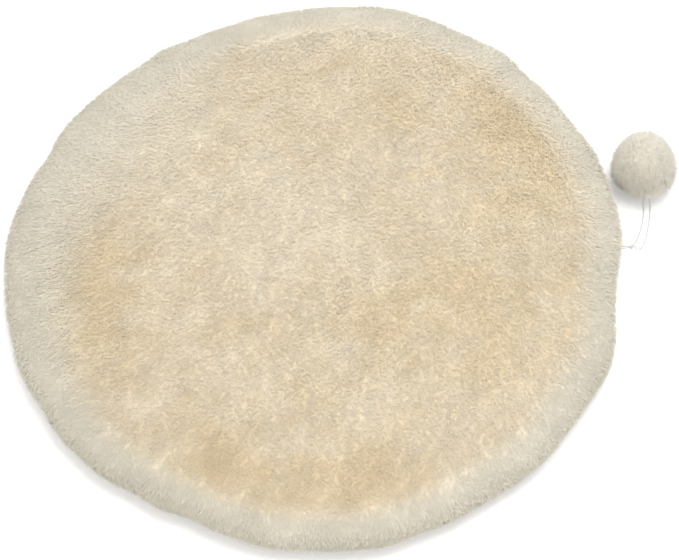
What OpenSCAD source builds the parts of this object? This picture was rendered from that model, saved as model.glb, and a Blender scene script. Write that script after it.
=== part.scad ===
// Round pet cushion bed: a furry zipped cover over a filled liner, and a pompom on a doubled string.
// The origin is the middle of the underside, +Z is up, and sizes are in millimetres.

/* [Cushion] */
// Diameter over the pile
cushion_d = 450; // [380:10:600]
// Height of the pile tips at the crown
cushion_h = 64; // [50:1:90]
// Height of the widest line, where the two faces are sewn together
seam_z = 21; // [16:1:26]
// Depth of the fur panel, backing and pile together
fur_depth = 11; // [8:1:14]
// Width of the flat ring of underside outside which it curves up to the seam
roll_w = 34; // [26:1:44]
// Thickness of the underside fabric
base_t = 1.8; // [1:0.1:2]
// Thickness of the liner's cloth
liner_t = 1; // [0.6:0.1:1.5]
// Width of the bound seam allowance inside the cover
allowance_w = 9; // [6:1:10]
// Thickness of the bound seam allowance
allowance_t = 3; // [2:0.5:4]

/* [Zip] */
// Length of the chain between its stops
chain_len = 300; // [200:10:320]
// Length of bare tape past each stop
tape_end = 22; // [20:1:26]
// Width of each half of the tape
tape_w = 13; // [11:1:16]
// Thickness of the tape
tape_t = 0.5; // [0.4:0.1:0.8]
// Width of each coil
coil_w = 2.2; // [1.8:0.1:2.6]
// Height of each coil
coil_h = 1.5; // [1.2:0.1:1.8]
// Clear way between the two coils
coil_gap = 1.2; // [1:0.1:1.4]
// Width of the slot between the underside panels
slot_w = 13; // [12:1:15]
// Length of the slider's body
slider_l = 9; // [8:0.5:11]
// Width of the slider's body
slider_w = 8.4; // [8:0.1:9.4]
// Thickness of the slider's two plates
plate_t = 0.8; // [0.6:0.1:1]
// Length of the pull tab from its hinge
pull_l = 18; // [14:1:19]
// Width of the pull tab
pull_w = 7; // [5:0.5:8]
// Thickness of the pull tab
pull_t = 0.7; // [0.5:0.1:0.9]

/* [Pompom] */
// Diameter of the pompom over its pile
pompom_d = 47; // [36:1:50]
// Diameter of the ball under the pile
pompom_core_d = 26; // [20:1:30]
// Thickness of the string
string_d = 1; // [0.8:0.1:1.4]
// Length of the sewn bar tack along the seam
tack_l = 7; // [5:0.5:9]
// Diameter of the knot next to the seam
knot_d = 3; // [2.4:0.1:3.2]

/* [Hidden] */
$fn = 96;

// Gap left between shells that lie on each other
shell_gap = 0.3;
// Overlap of a cutting shape past what it cuts
over = 1;
// Steps of a crowned face and of the rolled edge under it
section_steps = 22;
roll_steps = 8;
// Shape of the crown: how late it falls off, and how round its shoulder is
crown_power = 2.6;
crown_round = 0.62;
// Room between the liner and the cover at the crown
crown_ease = 1.5;

outer_r = cushion_d / 2;
cloth_r = outer_r - fur_depth;
liner_r = cloth_r - base_t - allowance_w - shell_gap;
flat_r = cloth_r - roll_w;
// Height at which the pile stands out furthest
side_z = seam_z + 3;
// The filled liner is rolled more tightly than the cover
liner_roll_w = roll_w - 8;

// Levels of the zip, counted up from the underside
ground_gap = 0.2;
play = 0.4;
bridge_t = 0.6;
window_h = pull_t + play;
plate_low_z = ground_gap + bridge_t + window_h;
coil_z = plate_low_z + plate_t + shell_gap;
tape_z = coil_z + coil_h;
plate_high_z = tape_z + tape_t + shell_gap;
zip_top_z = plate_high_z + plate_t;

// Tape, and the channel over it that the filled liner leaves free
tape_len = chain_len + 2 * tape_end;
channel_side = 4;
channel_w = 2 * (tape_w + channel_side);
channel_l = tape_len + 2 * channel_side;
channel_h = zip_top_z + play;
lip_w = 4;
stop_l = 2;
slider_x = chain_len / 2 - slider_l / 2 - stop_l;
web_t = 0.5;
hinge_r = pull_t / 2;
hinge_z = ground_gap + bridge_t + window_h / 2;

// The string's two ends are caught in the seam on the right-hand side, and knotted just outside it
tack_t = 0.8;
tack_h = 2;
tack_at = [outer_r - 0.1, -8, 14];
knot_at = [tack_at[0] + tack_t + shell_gap + knot_d / 2, tack_at[1], tack_at[2]];
pompom_at = [244.7, 54, pompom_d / 2];
// Way the gathered neck under the pompom faces
neck_dir = [0, -0.83, -0.56];
neck_r = 3.6;
tie_d = 5;
tie_t = 1.6;
// Distance of the tie from the middle of the pompom
tie_at = pompom_core_d / 2 - tie_t - 1.4;
string_sides = 8;

// Route of the string: out of the knot, down to the floor, into the pompom's neck, round and back
string_route = [
    [228.5, -6.2, 13.6], [229.4, -4.4, 11.4], [230.8, -1.8, 7.6], [232.4, 1.2, 3.8], [234.2, 4.6, 1.4],
    [236, 8.2, 0.7], [237.8, 12.2, 0.6], [239.4, 16.4, 0.6], [240.8, 20.6, 0.6], [242, 25, 0.7],
    [242.7, 29, 1.3], [242.8, 32.6, 3.2], [242.6, 35.8, 6.1], [242.5, 38.6, 9.2], [242.5, 41, 12.2],
    [243.1, 42.6, 14.1], [244.7, 43.3, 14.9], [246.3, 42.6, 14.1],
    [246.9, 41, 12.2], [247.1, 38.6, 9.2], [247.3, 35.8, 6.1], [247.6, 32.6, 3.2], [247.4, 29, 1.3],
    [246.6, 24.6, 0.7], [245.4, 19.6, 0.6], [243.8, 14.4, 0.6], [242.2, 9.4, 0.6], [240.4, 4.4, 0.6],
    [238.4, 0.2, 0.7], [236, -3, 1.8], [233.6, -5.2, 4.6], [231.4, -6.6, 8.8], [229.5, -7.3, 13.6]
];

// Height of a crowned face at distance r from the middle: rim height, radius and rise
function crown_z(r, low, r_max, rise) =
    low + rise * pow(max(0, 1 - pow(r / r_max, crown_power)), crown_round);

// Distance from the middle at step i of n, closer together towards the rim
function crown_r(i, n, r_max) = r_max * sin(90 * i / n);

// Points of a crowned face from the middle out to its rim
function crown(low, r_max, rise) = [
    for (i = [0:section_steps])
        let (r = crown_r(i, section_steps, r_max)) [r, crown_z(r, low, r_max, rise)]
];

// Points of the underside from the middle out to the seam, with the roll as a quarter ellipse
function under(z0, r_flat, r_max, z_max) = concat(
    [[0, z0]],
    [for (i = [0:roll_steps])
        let (turn = 90 * i / roll_steps)
            [r_flat + (r_max - r_flat) * sin(turn), z_max - (z_max - z0) * cos(turn)]]
);

function reversed(points) = [for (i = [len(points) - 1:-1:0]) points[i]];

// Block centred on the Z axis and standing on z = 0
module bar(length, width, height) {
    translate([-length / 2, -width / 2, 0])
        cube([length, width, height]);
}

// Box over the chain that the liner and the fill leave free for the zip
module zip_channel(extra) {
    translate([0, 0, -over])
        bar(channel_l + 2 * extra, channel_w + 2 * extra, channel_h + extra + over);
}

// Fur panel: crown, rim rolled over and hanging a little below the seam
module cover_top() {
    hem_z = 8;
    tuck = 6;
    backing_t = 1.6;
    color("antiquewhite")
        rotate_extrude()
            polygon(concat(
                crown(side_z, outer_r, cushion_h - side_z),
                [[outer_r - tuck / 10, hem_z + tuck], [outer_r - tuck / 2, hem_z + tuck / 3]],
                [[outer_r - tuck, hem_z]],
                [[cloth_r + play, hem_z + backing_t], [cloth_r + play, seam_z]],
                reversed(crown(seam_z, cloth_r, cushion_h - seam_z - fur_depth))
            ));
}

// Underside cloth before it is cut in two
module base_shell() {
    rotate_extrude()
        polygon(concat(
            under(0, flat_r, cloth_r, seam_z - shell_gap),
            reversed(under(base_t, flat_r, cloth_r - base_t, seam_z - shell_gap))
        ));
}

// One half of the underside, with a lip folded up along the slot to meet the tape
module base_half(side) {
    difference() {
        intersection() {
            base_shell();
            translate([-outer_r, side > 0 ? 0 : -outer_r, -over])
                cube([cushion_d, outer_r, cushion_h]);
        }
        translate([0, 0, -over])
            bar(tape_len, slot_w, base_t + 2 * over);
    }
    translate([-tape_len / 2, side > 0 ? slot_w / 2 : -slot_w / 2 - lip_w, ground_gap])
        cube([tape_len, lip_w, tape_z - ground_gap]);
}

module cover_base_front() {
    color("beige")
        base_half(-1);
}

module cover_base_back() {
    color("beige")
        base_half(1);
}

// Seam allowances of both faces, overlocked together inside the cover
module seam_binding() {
    slack = 1;
    color("ivory")
        translate([0, 0, seam_z - shell_gap - allowance_t])
            rotate_extrude()
                translate([cloth_r - base_t - allowance_w, 0])
                    square([allowance_w - 2 * slack, allowance_t - slack]);
}

module liner_top() {
    low = seam_z + shell_gap;
    rise = cushion_h - fur_depth - low - crown_ease;
    color("white")
        rotate_extrude()
            polygon(concat(
                crown(low, liner_r, rise),
                reversed(crown(low, liner_r - liner_t, rise - liner_t))
            ));
}

module liner_bottom() {
    low = base_t + shell_gap;
    high = seam_z;
    r_flat = liner_r - liner_roll_w;
    color("white")
        difference() {
            union() {
                rotate_extrude()
                    polygon(concat(
                        under(low, r_flat, liner_r, high),
                        reversed(under(low + liner_t, r_flat, liner_r - liner_t, high))
                    ));
                translate([0, 0, low])
                    bar(channel_l + 2 * liner_t, channel_w + 2 * liner_t, channel_h + liner_t - low);
            }
            zip_channel(0);
        }
}

module fibre_fill() {
    low = base_t + liner_t + 2 * shell_gap;
    r_max = liner_r - liner_t - shell_gap;
    high = cushion_h - fur_depth - liner_t - crown_ease - 3 * shell_gap;
    color("whitesmoke")
        difference() {
            rotate_extrude()
                polygon(concat(
                    under(low, r_max - liner_roll_w, r_max, seam_z),
                    reversed(crown(seam_z, r_max, high - seam_z))
                ));
            zip_channel(liner_t + shell_gap);
        }
}

module zip_tape(side) {
    inner_y = coil_gap / 2;
    translate([-tape_len / 2, side > 0 ? inner_y : -inner_y - tape_w, tape_z])
        cube([tape_len, tape_w, tape_t]);
}

module zip_tape_front() {
    color("linen")
        zip_tape(-1);
}

module zip_tape_back() {
    color("linen")
        zip_tape(1);
}

module zip_coil(side) {
    inner_y = coil_gap / 2;
    translate([-chain_len / 2, side > 0 ? inner_y : -inner_y - coil_w, coil_z])
        cube([chain_len, coil_w, coil_h]);
}

module zip_coil_front() {
    color("floralwhite")
        zip_coil(-1);
}

module zip_coil_back() {
    color("floralwhite")
        zip_coil(1);
}

// Stop that ties the two coils together just past the end of the chain
module zip_stop(x) {
    translate([x, 0, coil_z])
        bar(stop_l, 2 * coil_w + coil_gap, coil_h);
}

module zip_stop_left() {
    color("silver")
        zip_stop(-chain_len / 2 - stop_l / 2);
}

module zip_stop_right() {
    color("silver")
        zip_stop(chain_len / 2 + stop_l / 2);
}

// Slider: a plate under the coils, a plate over the tape, the web between them and the bridge
module zip_slider() {
    bridge_l = 5;
    bridge_w = 2.4;
    post_l = 1;
    post_h = plate_low_z - ground_gap;
    web_l = 3;
    color("silver")
        translate([slider_x, 0, 0]) {
            translate([0, 0, plate_low_z])
                bar(slider_l, slider_w, plate_t);
            translate([0, 0, plate_high_z])
                bar(slider_l, slider_w, plate_t);
            translate([0, 0, plate_low_z])
                bar(web_l, web_t, zip_top_z - plate_low_z);
            translate([0, 0, ground_gap])
                bar(bridge_l, bridge_w, bridge_t);
            for (end = [-1, 1])
                translate([end * (bridge_l - post_l) / 2, 0, ground_gap])
                    bar(post_l, bridge_w, post_h);
        }
}

// Pull tab: a pin through the bridge, two cheeks beside it and a flat tab with a finger hole
module zip_pull() {
    eye_w = 3.2;
    eye_l = 4.4;
    hole_d = 3;
    hole_in = 3.6;
    color("silver")
        translate([slider_x, 0, hinge_z]) {
            rotate([90, 0, 0])
                cylinder(h = pull_w, r = hinge_r, center = true);
            difference() {
                translate([-pull_l / 2, 0, -pull_t / 2])
                    bar(pull_l, pull_w, pull_t);
                translate([(over - eye_l) / 2, 0, -over])
                    bar(eye_l + over, eye_w, 2 * over);
                translate([hole_in - pull_l, 0, -over])
                    cylinder(h = 2 * over, d = hole_d);
            }
        }
}

// Bar tack that catches the string's ends in the seam
module tether_tack() {
    color("white")
        translate([tack_at[0], tack_at[1] - tack_l / 2, tack_at[2] - tack_h / 2])
            cube([tack_t, tack_l, tack_h]);
}

module tether_knot() {
    color("white")
        translate(knot_at)
            sphere(d = knot_d);
}

function unit(v) = v / norm(v);

// Direction of the string at point i of its route
function heading(p, i) = unit(p[min(i + 1, len(p) - 1)] - p[max(i - 1, 0)]);

// Ring of points round the string at point i, square to its direction
function string_ring(p, i) =
    let (
        along = heading(p, i),
        up = abs(along[2]) > 0.9 ? [1, 0, 0] : [0, 0, 1],
        side = unit(cross(along, up)),
        over = cross(side, along)
    )
    [for (k = [0:string_sides - 1])
        p[i] + string_d / 2 * (side * cos(360 * k / string_sides) + over * sin(360 * k / string_sides))];

module tether_cord() {
    rings = len(string_route);
    points = [for (i = [0:rings - 1]) each string_ring(string_route, i)];
    sides = [
        for (i = [0:rings - 2], k = [0:string_sides - 1])
            let (next = (k + 1) % string_sides, a = i * string_sides, b = a + string_sides)
            [a + k, b + k, b + next, a + next]
    ];
    first = [for (k = [0:string_sides - 1]) k];
    last = [for (k = [string_sides - 1:-1:0]) (rings - 1) * string_sides + k];
    color("white")
        polyhedron(points = points, faces = concat([first], sides, [last]));
}

// Turns the Z axis to the way the pompom's neck faces
module to_neck() {
    translate(pompom_at)
        rotate([0, acos(neck_dir[2] / norm(neck_dir)), atan2(neck_dir[1], neck_dir[0])])
            children();
}

module pompom_pile() {
    color("antiquewhite")
        difference() {
            translate(pompom_at)
                sphere(d = pompom_d);
            translate(pompom_at)
                sphere(d = pompom_core_d);
            to_neck()
                cylinder(h = pompom_d, r = neck_r);
        }
}

module pompom_stuffing() {
    color("whitesmoke")
        difference() {
            translate(pompom_at)
                sphere(d = pompom_core_d - 2 * shell_gap);
            to_neck()
                translate([0, 0, tie_at - shell_gap])
                    cylinder(h = pompom_core_d, r = neck_r);
        }
}

// Thread drawn round the neck, which the string runs through
module pompom_tie() {
    color("white")
        to_neck()
            translate([0, 0, tie_at])
                cylinder(h = tie_t, d = tie_d);
}

cover_top();
cover_base_front();
cover_base_back();
seam_binding();
liner_top();
liner_bottom();
fibre_fill();
zip_tape_front();
zip_tape_back();
zip_coil_front();
zip_coil_back();
zip_stop_left();
zip_stop_right();
zip_slider();
zip_pull();
tether_tack();
tether_knot();
tether_cord();
pompom_pile();
pompom_stuffing();
pompom_tie();
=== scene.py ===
"""Round plush pet cushion with a zipped cloth underside and a pompom on a doubled string."""
import math

import bmesh
import bpy
import numpy as np
from mathutils import Matrix, Vector
from mathutils.bvhtree import BVHTree
from mathutils.kdtree import KDTree


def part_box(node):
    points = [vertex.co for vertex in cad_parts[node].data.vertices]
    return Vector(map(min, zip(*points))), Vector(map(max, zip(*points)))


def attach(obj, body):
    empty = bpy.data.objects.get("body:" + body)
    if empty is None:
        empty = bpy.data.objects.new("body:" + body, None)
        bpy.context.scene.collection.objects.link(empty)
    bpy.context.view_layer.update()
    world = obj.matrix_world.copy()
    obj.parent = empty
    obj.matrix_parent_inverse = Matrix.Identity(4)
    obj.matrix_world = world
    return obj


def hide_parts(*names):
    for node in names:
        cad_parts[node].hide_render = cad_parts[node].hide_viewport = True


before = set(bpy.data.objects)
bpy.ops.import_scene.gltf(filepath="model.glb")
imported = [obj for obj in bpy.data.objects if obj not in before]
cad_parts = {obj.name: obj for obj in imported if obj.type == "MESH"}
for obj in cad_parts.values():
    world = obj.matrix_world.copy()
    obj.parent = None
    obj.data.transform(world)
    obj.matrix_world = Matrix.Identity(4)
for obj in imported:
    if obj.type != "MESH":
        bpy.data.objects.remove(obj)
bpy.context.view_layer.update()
MM = 0.001
UP = np.array([0.0, 0.0, 1.0])

# ---- sizes, from the frame

cover_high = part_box("cover_top")[1]
base_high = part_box("cover_base_front")[1]
pile_low, pile_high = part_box("pompom_pile")
stuffing_low, stuffing_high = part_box("pompom_stuffing")

OUTER_R = cover_high.x  # over the pile
CLOTH_R = base_high.x  # where the two faces are sewn together
SEAM_Z = base_high.z  # level of the seam
CROWN_Z = cover_high.z  # pile tips at the middle
PILE_DEPTH = OUTER_R - CLOTH_R  # from the backing cloth to the tips
BED_DEPTH = 4.2 * MM  # dense underfur above the backing cloth
HEM_Z = 4 * MM  # lowest edge of the fur
HEM_IN = 17 * MM  # how far the fur tucks in under the side
CROWN_POWER, CROWN_ROUND = 2.6, 0.62  # the crown's section, as in the frame
SIDE_TURN = math.radians(76)  # how far the fur turns under from the seam
POMPOM = (pile_low + pile_high) / 2
POMPOM_R = (pile_high.x - pile_low.x) / 2
STUFFING_R = (stuffing_high.x - stuffing_low.x) / 2
KNOT = sum(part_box("tether_knot"), Vector()) / 2

# ---- mesh helpers


def linked(name, data):
    """New object, put in the scene."""
    ob = bpy.data.objects.new(name, data)
    bpy.context.scene.collection.objects.link(ob)
    return ob


def unit(v):
    return v / np.maximum(np.linalg.norm(v, axis=-1, keepdims=True), 1e-12)


def round_turn(count):
    """Angles evenly spaced round a circle."""
    return np.arange(count) * 2 * math.pi / count


def clamp(v):
    return np.clip(v, 0, 1)


def ease(v):
    """Soft start and end for a share from 0 to 1."""
    return v * v * (3 - 2 * v)


def degrees_off(angle, azimuth):
    """How far each angle lies from an azimuth, in degrees from -180 to 180."""
    return (np.degrees(angle) - azimuth + 180) % 360 - 180


def polar(r, turn, z):
    """Points at a radius, an angle and a level."""
    return np.stack([r * np.cos(turn), r * np.sin(turn), z], -1)


def along_skin(v, normal):
    """Each vector without its part along the normal."""
    return v - normal * np.sum(v * normal, axis=1, keepdims=True)


def run_along(steps):
    """Length run at each point of a line, from the lengths of its steps."""
    return np.concatenate([[0], np.cumsum(steps)])


def pairs(a, b):
    """Every pair of two rows of numbers, as two flat arrays; the second row runs fastest."""
    return [v.ravel() for v in np.meshgrid(a, b, indexing="ij")]


def add_object(name, mesh, material, body):
    """Links the mesh as a piece that rides on a body, with the given material."""
    ob = linked(name, mesh)
    mesh.materials.clear()
    mesh.materials.append(material)
    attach(ob, body)
    return ob


def mesh_from(name, verts, faces, smooth=True):
    """Mesh from an N x 3 array and faces that all have the same number of corners, or a list of faces."""
    mesh = bpy.data.meshes.new(name)
    if isinstance(faces, np.ndarray):
        corners = faces.shape[1]
        mesh.vertices.add(len(verts))
        mesh.vertices.foreach_set("co", np.ascontiguousarray(verts, np.float32).ravel())
        mesh.loops.add(faces.size)
        mesh.loops.foreach_set("vertex_index", np.ascontiguousarray(faces, np.int32).ravel())
        mesh.polygons.add(len(faces))
        mesh.polygons.foreach_set("loop_start", np.arange(0, faces.size, corners, dtype=np.int32))
        mesh.update(calc_edges=True)
    else:
        mesh.from_pydata([tuple(v) for v in verts], [], faces)
        mesh.update()
    mesh.polygons.foreach_set("use_smooth", np.full(len(mesh.polygons), smooth))
    return mesh


def mesh_of(bm, name):
    """Smooth mesh made from a bmesh, which is let go."""
    mesh = bpy.data.meshes.new(name)
    bm.to_mesh(mesh)
    bm.free()
    mesh.polygons.foreach_set("use_smooth", [True] * len(mesh.polygons))
    return mesh


def add_piece(name, verts, faces, material, body, slot, smooth=True):
    return add_object(name, mesh_from(name, verts, faces, smooth), material, body)


def add_numbers(mesh, **numbers):
    """Stores named numbers, one a vertex, for the material."""
    for name, values in numbers.items():
        layer = mesh.attributes.new(name, "FLOAT", "POINT")
        layer.data.foreach_set("value", np.ascontiguousarray(values, np.float32))


def thicken(ob, thickness):
    """Gives a sheet its thickness, on its inner side."""
    cloth = ob.modifiers.new("cloth", "SOLIDIFY")
    cloth.thickness = thickness
    cloth.offset = -1


def add_plan_map(mesh, verts, faces, centre, radius):
    """UV map that looks straight down on the piece, so that colour is kept by place."""
    plan = 0.5 + (verts[:, :2] - np.array(centre[:2])) / (2.1 * radius)
    uv = mesh.uv_layers.new(name="OFBake")
    uv.data.foreach_set("uv", np.ascontiguousarray(plan[faces.ravel()], np.float32).ravel())


def grid_faces(rows, cols, wrap=False, flip=False):
    """Quads of a grid with its points in rows; wrap joins the last column to the first, flip turns them over."""
    last = cols if wrap else cols - 1
    r, c = pairs(np.arange(rows - 1), np.arange(last))
    n = (c + 1) % cols
    quads = np.stack([r * cols + c, r * cols + n, (r + 1) * cols + n, (r + 1) * cols + c], 1)
    return quads[:, ::-1] if flip else quads


def waves(x, y, size, seed, count=9):
    """Smooth noise from -1 to 1 over a plane, with humps about size across."""
    rng = np.random.default_rng(seed)
    total = np.zeros_like(x)
    for _ in range(count):
        turn, phase = rng.uniform(0, 2 * math.pi, 2)
        k = math.pi / (size * rng.uniform(0.7, 1.6))
        total += np.sin(k * (x * math.cos(turn) + y * math.sin(turn)) + phase)
    return total / count * 1.8


def sweep(path, radii, sides, squash=1.0):
    """Closed tube along a path; radii is one radius or one a point, squash an optional (points, sides) factor."""
    path = np.asarray(path, float)
    ahead = unit(np.gradient(path, axis=0))
    side = unit(np.cross(ahead[0], UP if abs(ahead[0][2]) < 0.9 else np.array([1.0, 0, 0])))
    turn = round_turn(sides)
    reach = np.broadcast_to(radii, len(path))[:, None] * np.broadcast_to(squash, (len(path), sides))
    rings = []
    for point, a, out in zip(path, ahead, reach):
        side = unit(side - a * np.dot(side, a))
        over = np.cross(a, side)
        rings.append(point + out[:, None] * (np.outer(np.cos(turn), side) + np.outer(np.sin(turn), over)))
    faces = grid_faces(len(path), sides, wrap=True).tolist()
    faces += [list(range(sides - 1, -1, -1)), [(len(path) - 1) * sides + k for k in range(sides)]]
    return np.concatenate(rings), faces


def joined(parts):
    """One (verts, faces) from several."""
    verts, faces, start = [], [], 0
    for v, f in parts:
        verts.append(np.asarray(v, float))
        faces += [[start + i for i in face] for face in f]
        start += len(v)
    return np.concatenate(verts), faces


def smooth_path(points, steps):
    """Points of a smooth curve through the given ones."""
    p = np.asarray(points, float)
    p = np.vstack([2 * p[0] - p[1], p, 2 * p[-1] - p[-2]])
    out = []
    for i in range(1, len(p) - 2):
        for t in np.arange(steps) / steps:
            a, b, c, d = p[i - 1:i + 3]
            out.append(0.5 * (2 * b + (c - a) * t + (2 * a - 5 * b + 4 * c - d) * t ** 2
                              + (3 * b - a - 3 * c + d) * t ** 3))
    out.append(p[-2])
    return np.array(out)


# ---- camera

VIEW_TILT = math.radians(60.5)  # above the horizon
VIEW_ROLL = math.radians(5.3)  # the right-hand end stands higher in the picture
VIEW_LENS = 120
VIEW_DISTANCE = 1.648  # in metres
VIEW_SIDE = 16 * MM  # aim this far to the right of the cushion's middle
VIEW_RISE = -3 * MM  # and this far up in the picture


def make_camera():
    cam = linked("camera", bpy.data.cameras.new("camera"))
    cam.data.lens = VIEW_LENS
    cam.data.sensor_width = 36
    back = Vector((0, -math.cos(VIEW_TILT), math.sin(VIEW_TILT)))
    level_up = Vector((0, math.sin(VIEW_TILT), math.cos(VIEW_TILT)))
    right = Vector((1, 0, 0)) * math.cos(VIEW_ROLL) - level_up * math.sin(VIEW_ROLL)
    up = back.cross(right)
    aim = right * VIEW_SIDE + up * VIEW_RISE
    turn = Matrix((right, up, back)).transposed()
    cam.matrix_world = Matrix.Translation(aim + back * VIEW_DISTANCE) @ turn.to_4x4()
    bpy.context.scene.camera = cam


make_camera()

# ---- material helpers


WAVE_SCALE = 0.314  # the wave texture's scale that gives bands one metre apart


class Look:
    """Builds one material: a Principled shader with its colour, bump and roughness made by nodes."""

    def __init__(self, name, roughness=0.9, specular=0.3, metallic=0.0, sheen=0.0):
        self.mat = bpy.data.materials.new(name)
        self.mat.use_nodes = True
        self.nodes = self.mat.node_tree.nodes
        self.links = self.mat.node_tree.links
        self.bsdf = self.nodes["Principled BSDF"]
        for socket, value in (("Roughness", roughness), ("Specular IOR Level", specular), ("Metallic", metallic),
                              ("Sheen Weight", sheen)):
            self.bsdf.inputs[socket].default_value = value
        self.place = self.nodes.new("ShaderNodeTexCoord").outputs["Object"]

    def node(self, kind, inputs=(), **settings):
        n = self.nodes.new(kind)
        for key, value in settings.items():
            setattr(n, key, value)
        for key, value in dict(inputs).items():
            if isinstance(value, bpy.types.NodeSocket):
                self.links.new(value, n.inputs[key])
            else:
                n.inputs[key].default_value = value
        return n

    def number(self, name):
        return self.node("ShaderNodeAttribute", attribute_name=name).outputs["Fac"]

    def noise(self, size, detail=2.0, stretch=(1, 1, 1), turn=(0, 0, 0)):
        scaled = self.node("ShaderNodeMapping", {"Vector": self.place, "Scale": stretch, "Rotation": turn})
        n = self.node("ShaderNodeTexNoise", {"Vector": scaled.outputs[0], "Scale": 1 / size, "Detail": detail})
        return n.outputs["Fac"]

    def wave(self, size, axis, distortion):
        inputs = {"Vector": self.place, "Scale": WAVE_SCALE / size, "Distortion": distortion}
        return self.node("ShaderNodeTexWave", inputs, bands_direction=axis).outputs["Fac"]

    def span(self, value, low, high, to_low=0.0, to_high=1.0):
        n = self.node("ShaderNodeMapRange", {"Value": value, "From Min": low, "From Max": high,
                                             "To Min": to_low, "To Max": to_high})
        return n.outputs["Result"]

    def maths(self, operation, a, b):
        return self.node("ShaderNodeMath", {0: a, 1: b}, operation=operation).outputs[0]

    def mix(self, share, a, b, blend="MIX"):
        n = self.node("ShaderNodeMix", data_type="RGBA", blend_type=blend)
        for socket, value in ((n.inputs[0], share), (n.inputs[6], a), (n.inputs[7], b)):
            if isinstance(value, bpy.types.NodeSocket):
                self.links.new(value, socket)
            else:
                socket.default_value = value if isinstance(value, (int, float)) else (*value, 1)
        return n.outputs[2]

    def finish(self, colour, height=None, depth=0.3 * MM, strength=0.5, roughness=None):
        self.links.new(colour, self.bsdf.inputs["Base Color"])
        if height is not None:
            bump = self.node("ShaderNodeBump", {"Height": height, "Distance": depth, "Strength": strength})
            self.links.new(bump.outputs[0], self.bsdf.inputs["Normal"])
        if roughness is not None:
            self.links.new(roughness, self.bsdf.inputs["Roughness"])
        return self.mat


def dimmed(colour, share):
    """The colour made darker, or lighter above a share of 1."""
    return tuple(min(1, c * share) for c in colour)


def pile_look(name, root, tip, shaded, rim_shade):
    """Plush pile: darker at the roots, with painted shade, darker and warmer, where it stands open, and a paler,
    greyer painted rim shade on the band brushed flat at the edge.
    """
    look = Look(name, roughness=0.85, specular=0.25, sheen=0.15)
    colour = look.mix(look.span(look.number("tip"), 0.05, 0.9), root, tip)
    # Painted shade where the pile stands open: darker and warmer
    colour = look.mix(look.span(look.number("open"), 0.0, 1.0, 0.0, 0.85), colour, shaded, "MULTIPLY")
    # Painted rim shade: the band on the rolled edge is coloured greyer and darker
    colour = look.mix(look.span(look.number("edge"), 0.0, 1.0, 0.0, 0.8), colour, rim_shade)
    cloud = look.span(look.noise(26 * MM, 3), 0.3, 0.7, 0.94, 1.05)
    tone = look.maths("MULTIPLY", cloud, look.span(look.number("tone"), 0, 1, 0.94, 1.04))
    grey = look.node("ShaderNodeCombineColor", {"Red": tone, "Green": tone, "Blue": tone}).outputs[0]
    colour = look.mix(1.0, colour, grey, "MULTIPLY")
    strand = look.noise(0.5 * MM, 2, stretch=(1, 1, 0.3))
    return look.finish(colour, strand, 0.1 * MM, 0.12)


def weave_look(name, colour, thread, shade=0.86):
    """Plain weave of threads one thread apart both ways, with a slight unevenness."""
    look = Look(name, roughness=0.92, specular=0.2, sheen=0.1)
    warp = look.wave(thread, "X", 0.6)
    weft = look.wave(thread, "Y", 0.6)
    height = look.maths("MAXIMUM", warp, weft)
    # Painted shade: the weave is coloured darker where its threads dip
    base = look.mix(look.span(height, 0.2, 0.9), dimmed(colour, shade), colour)
    cloud = look.span(look.noise(18 * MM, 4), 0.3, 0.7, 0.0, 0.35)
    base = look.mix(cloud, base, dimmed(colour, 1.06))
    fuzz = look.maths("ADD", height, look.noise(0.7 * MM, 3))
    return look.finish(base, fuzz, 0.18 * MM, 0.7)


def thread_look(name, colour, size):
    """Twisted thread or cord, with lit and shaded plies and a little fluff."""
    look = Look(name, roughness=0.75, specular=0.3, sheen=0.2)
    ply = look.wave(size, "DIAGONAL", 1.5)
    base = look.mix(look.span(ply, 0.1, 0.8), dimmed(colour, 0.8), colour)
    base = look.mix(look.span(look.noise(3 * MM, 3), 0.35, 0.7, 0, 0.4), base, dimmed(colour, 0.93))
    return look.finish(base, ply, 0.1 * MM, 0.5)


def metal_look(name, colour):
    """Plated zinc: brushed, with small scuffs that are rougher and darker."""
    look = Look(name, roughness=0.34, specular=0.5, metallic=1.0)
    brushed = look.noise(0.35 * MM, 4, stretch=(0.15, 1, 1))
    scuff = look.span(look.noise(1.5 * MM, 5), 0.52, 0.68)
    base = look.mix(scuff, colour, dimmed(colour, 0.78))
    rough = look.span(brushed, 0.3, 0.7, 0.26, 0.46)
    return look.finish(base, brushed, 0.02 * MM, 0.4, rough)


def nylon_look(name, colour):
    look = Look(name, roughness=0.45, specular=0.45)
    wear = look.span(look.noise(2.2 * MM, 4), 0.4, 0.7)
    base = look.mix(wear, colour, dimmed(colour, 0.88))
    rough = look.span(look.noise(0.6 * MM, 3), 0.3, 0.7, 0.36, 0.55)
    return look.finish(base, look.noise(0.3 * MM, 2), 0.02 * MM, 0.3, rough)


def fibre_look(name, colour):
    """Loose or bonded fibre: crossing streaks over a soft cloud."""
    look = Look(name, roughness=0.95, specular=0.15, sheen=0.2)
    along = look.noise(1.2 * MM, 4, stretch=(1, 0.12, 1), turn=(0, 0, 0.5))
    across = look.noise(1.2 * MM, 4, stretch=(0.12, 1, 1), turn=(0, 0.3, 0))
    streak = look.maths("MAXIMUM", along, across)
    # Painted shade: darker where the streaks dip, between the fibres
    base = look.mix(look.span(streak, 0.45, 0.75), dimmed(colour, 0.84), colour)
    return look.finish(base, streak, 0.4 * MM, 0.6)
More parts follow.
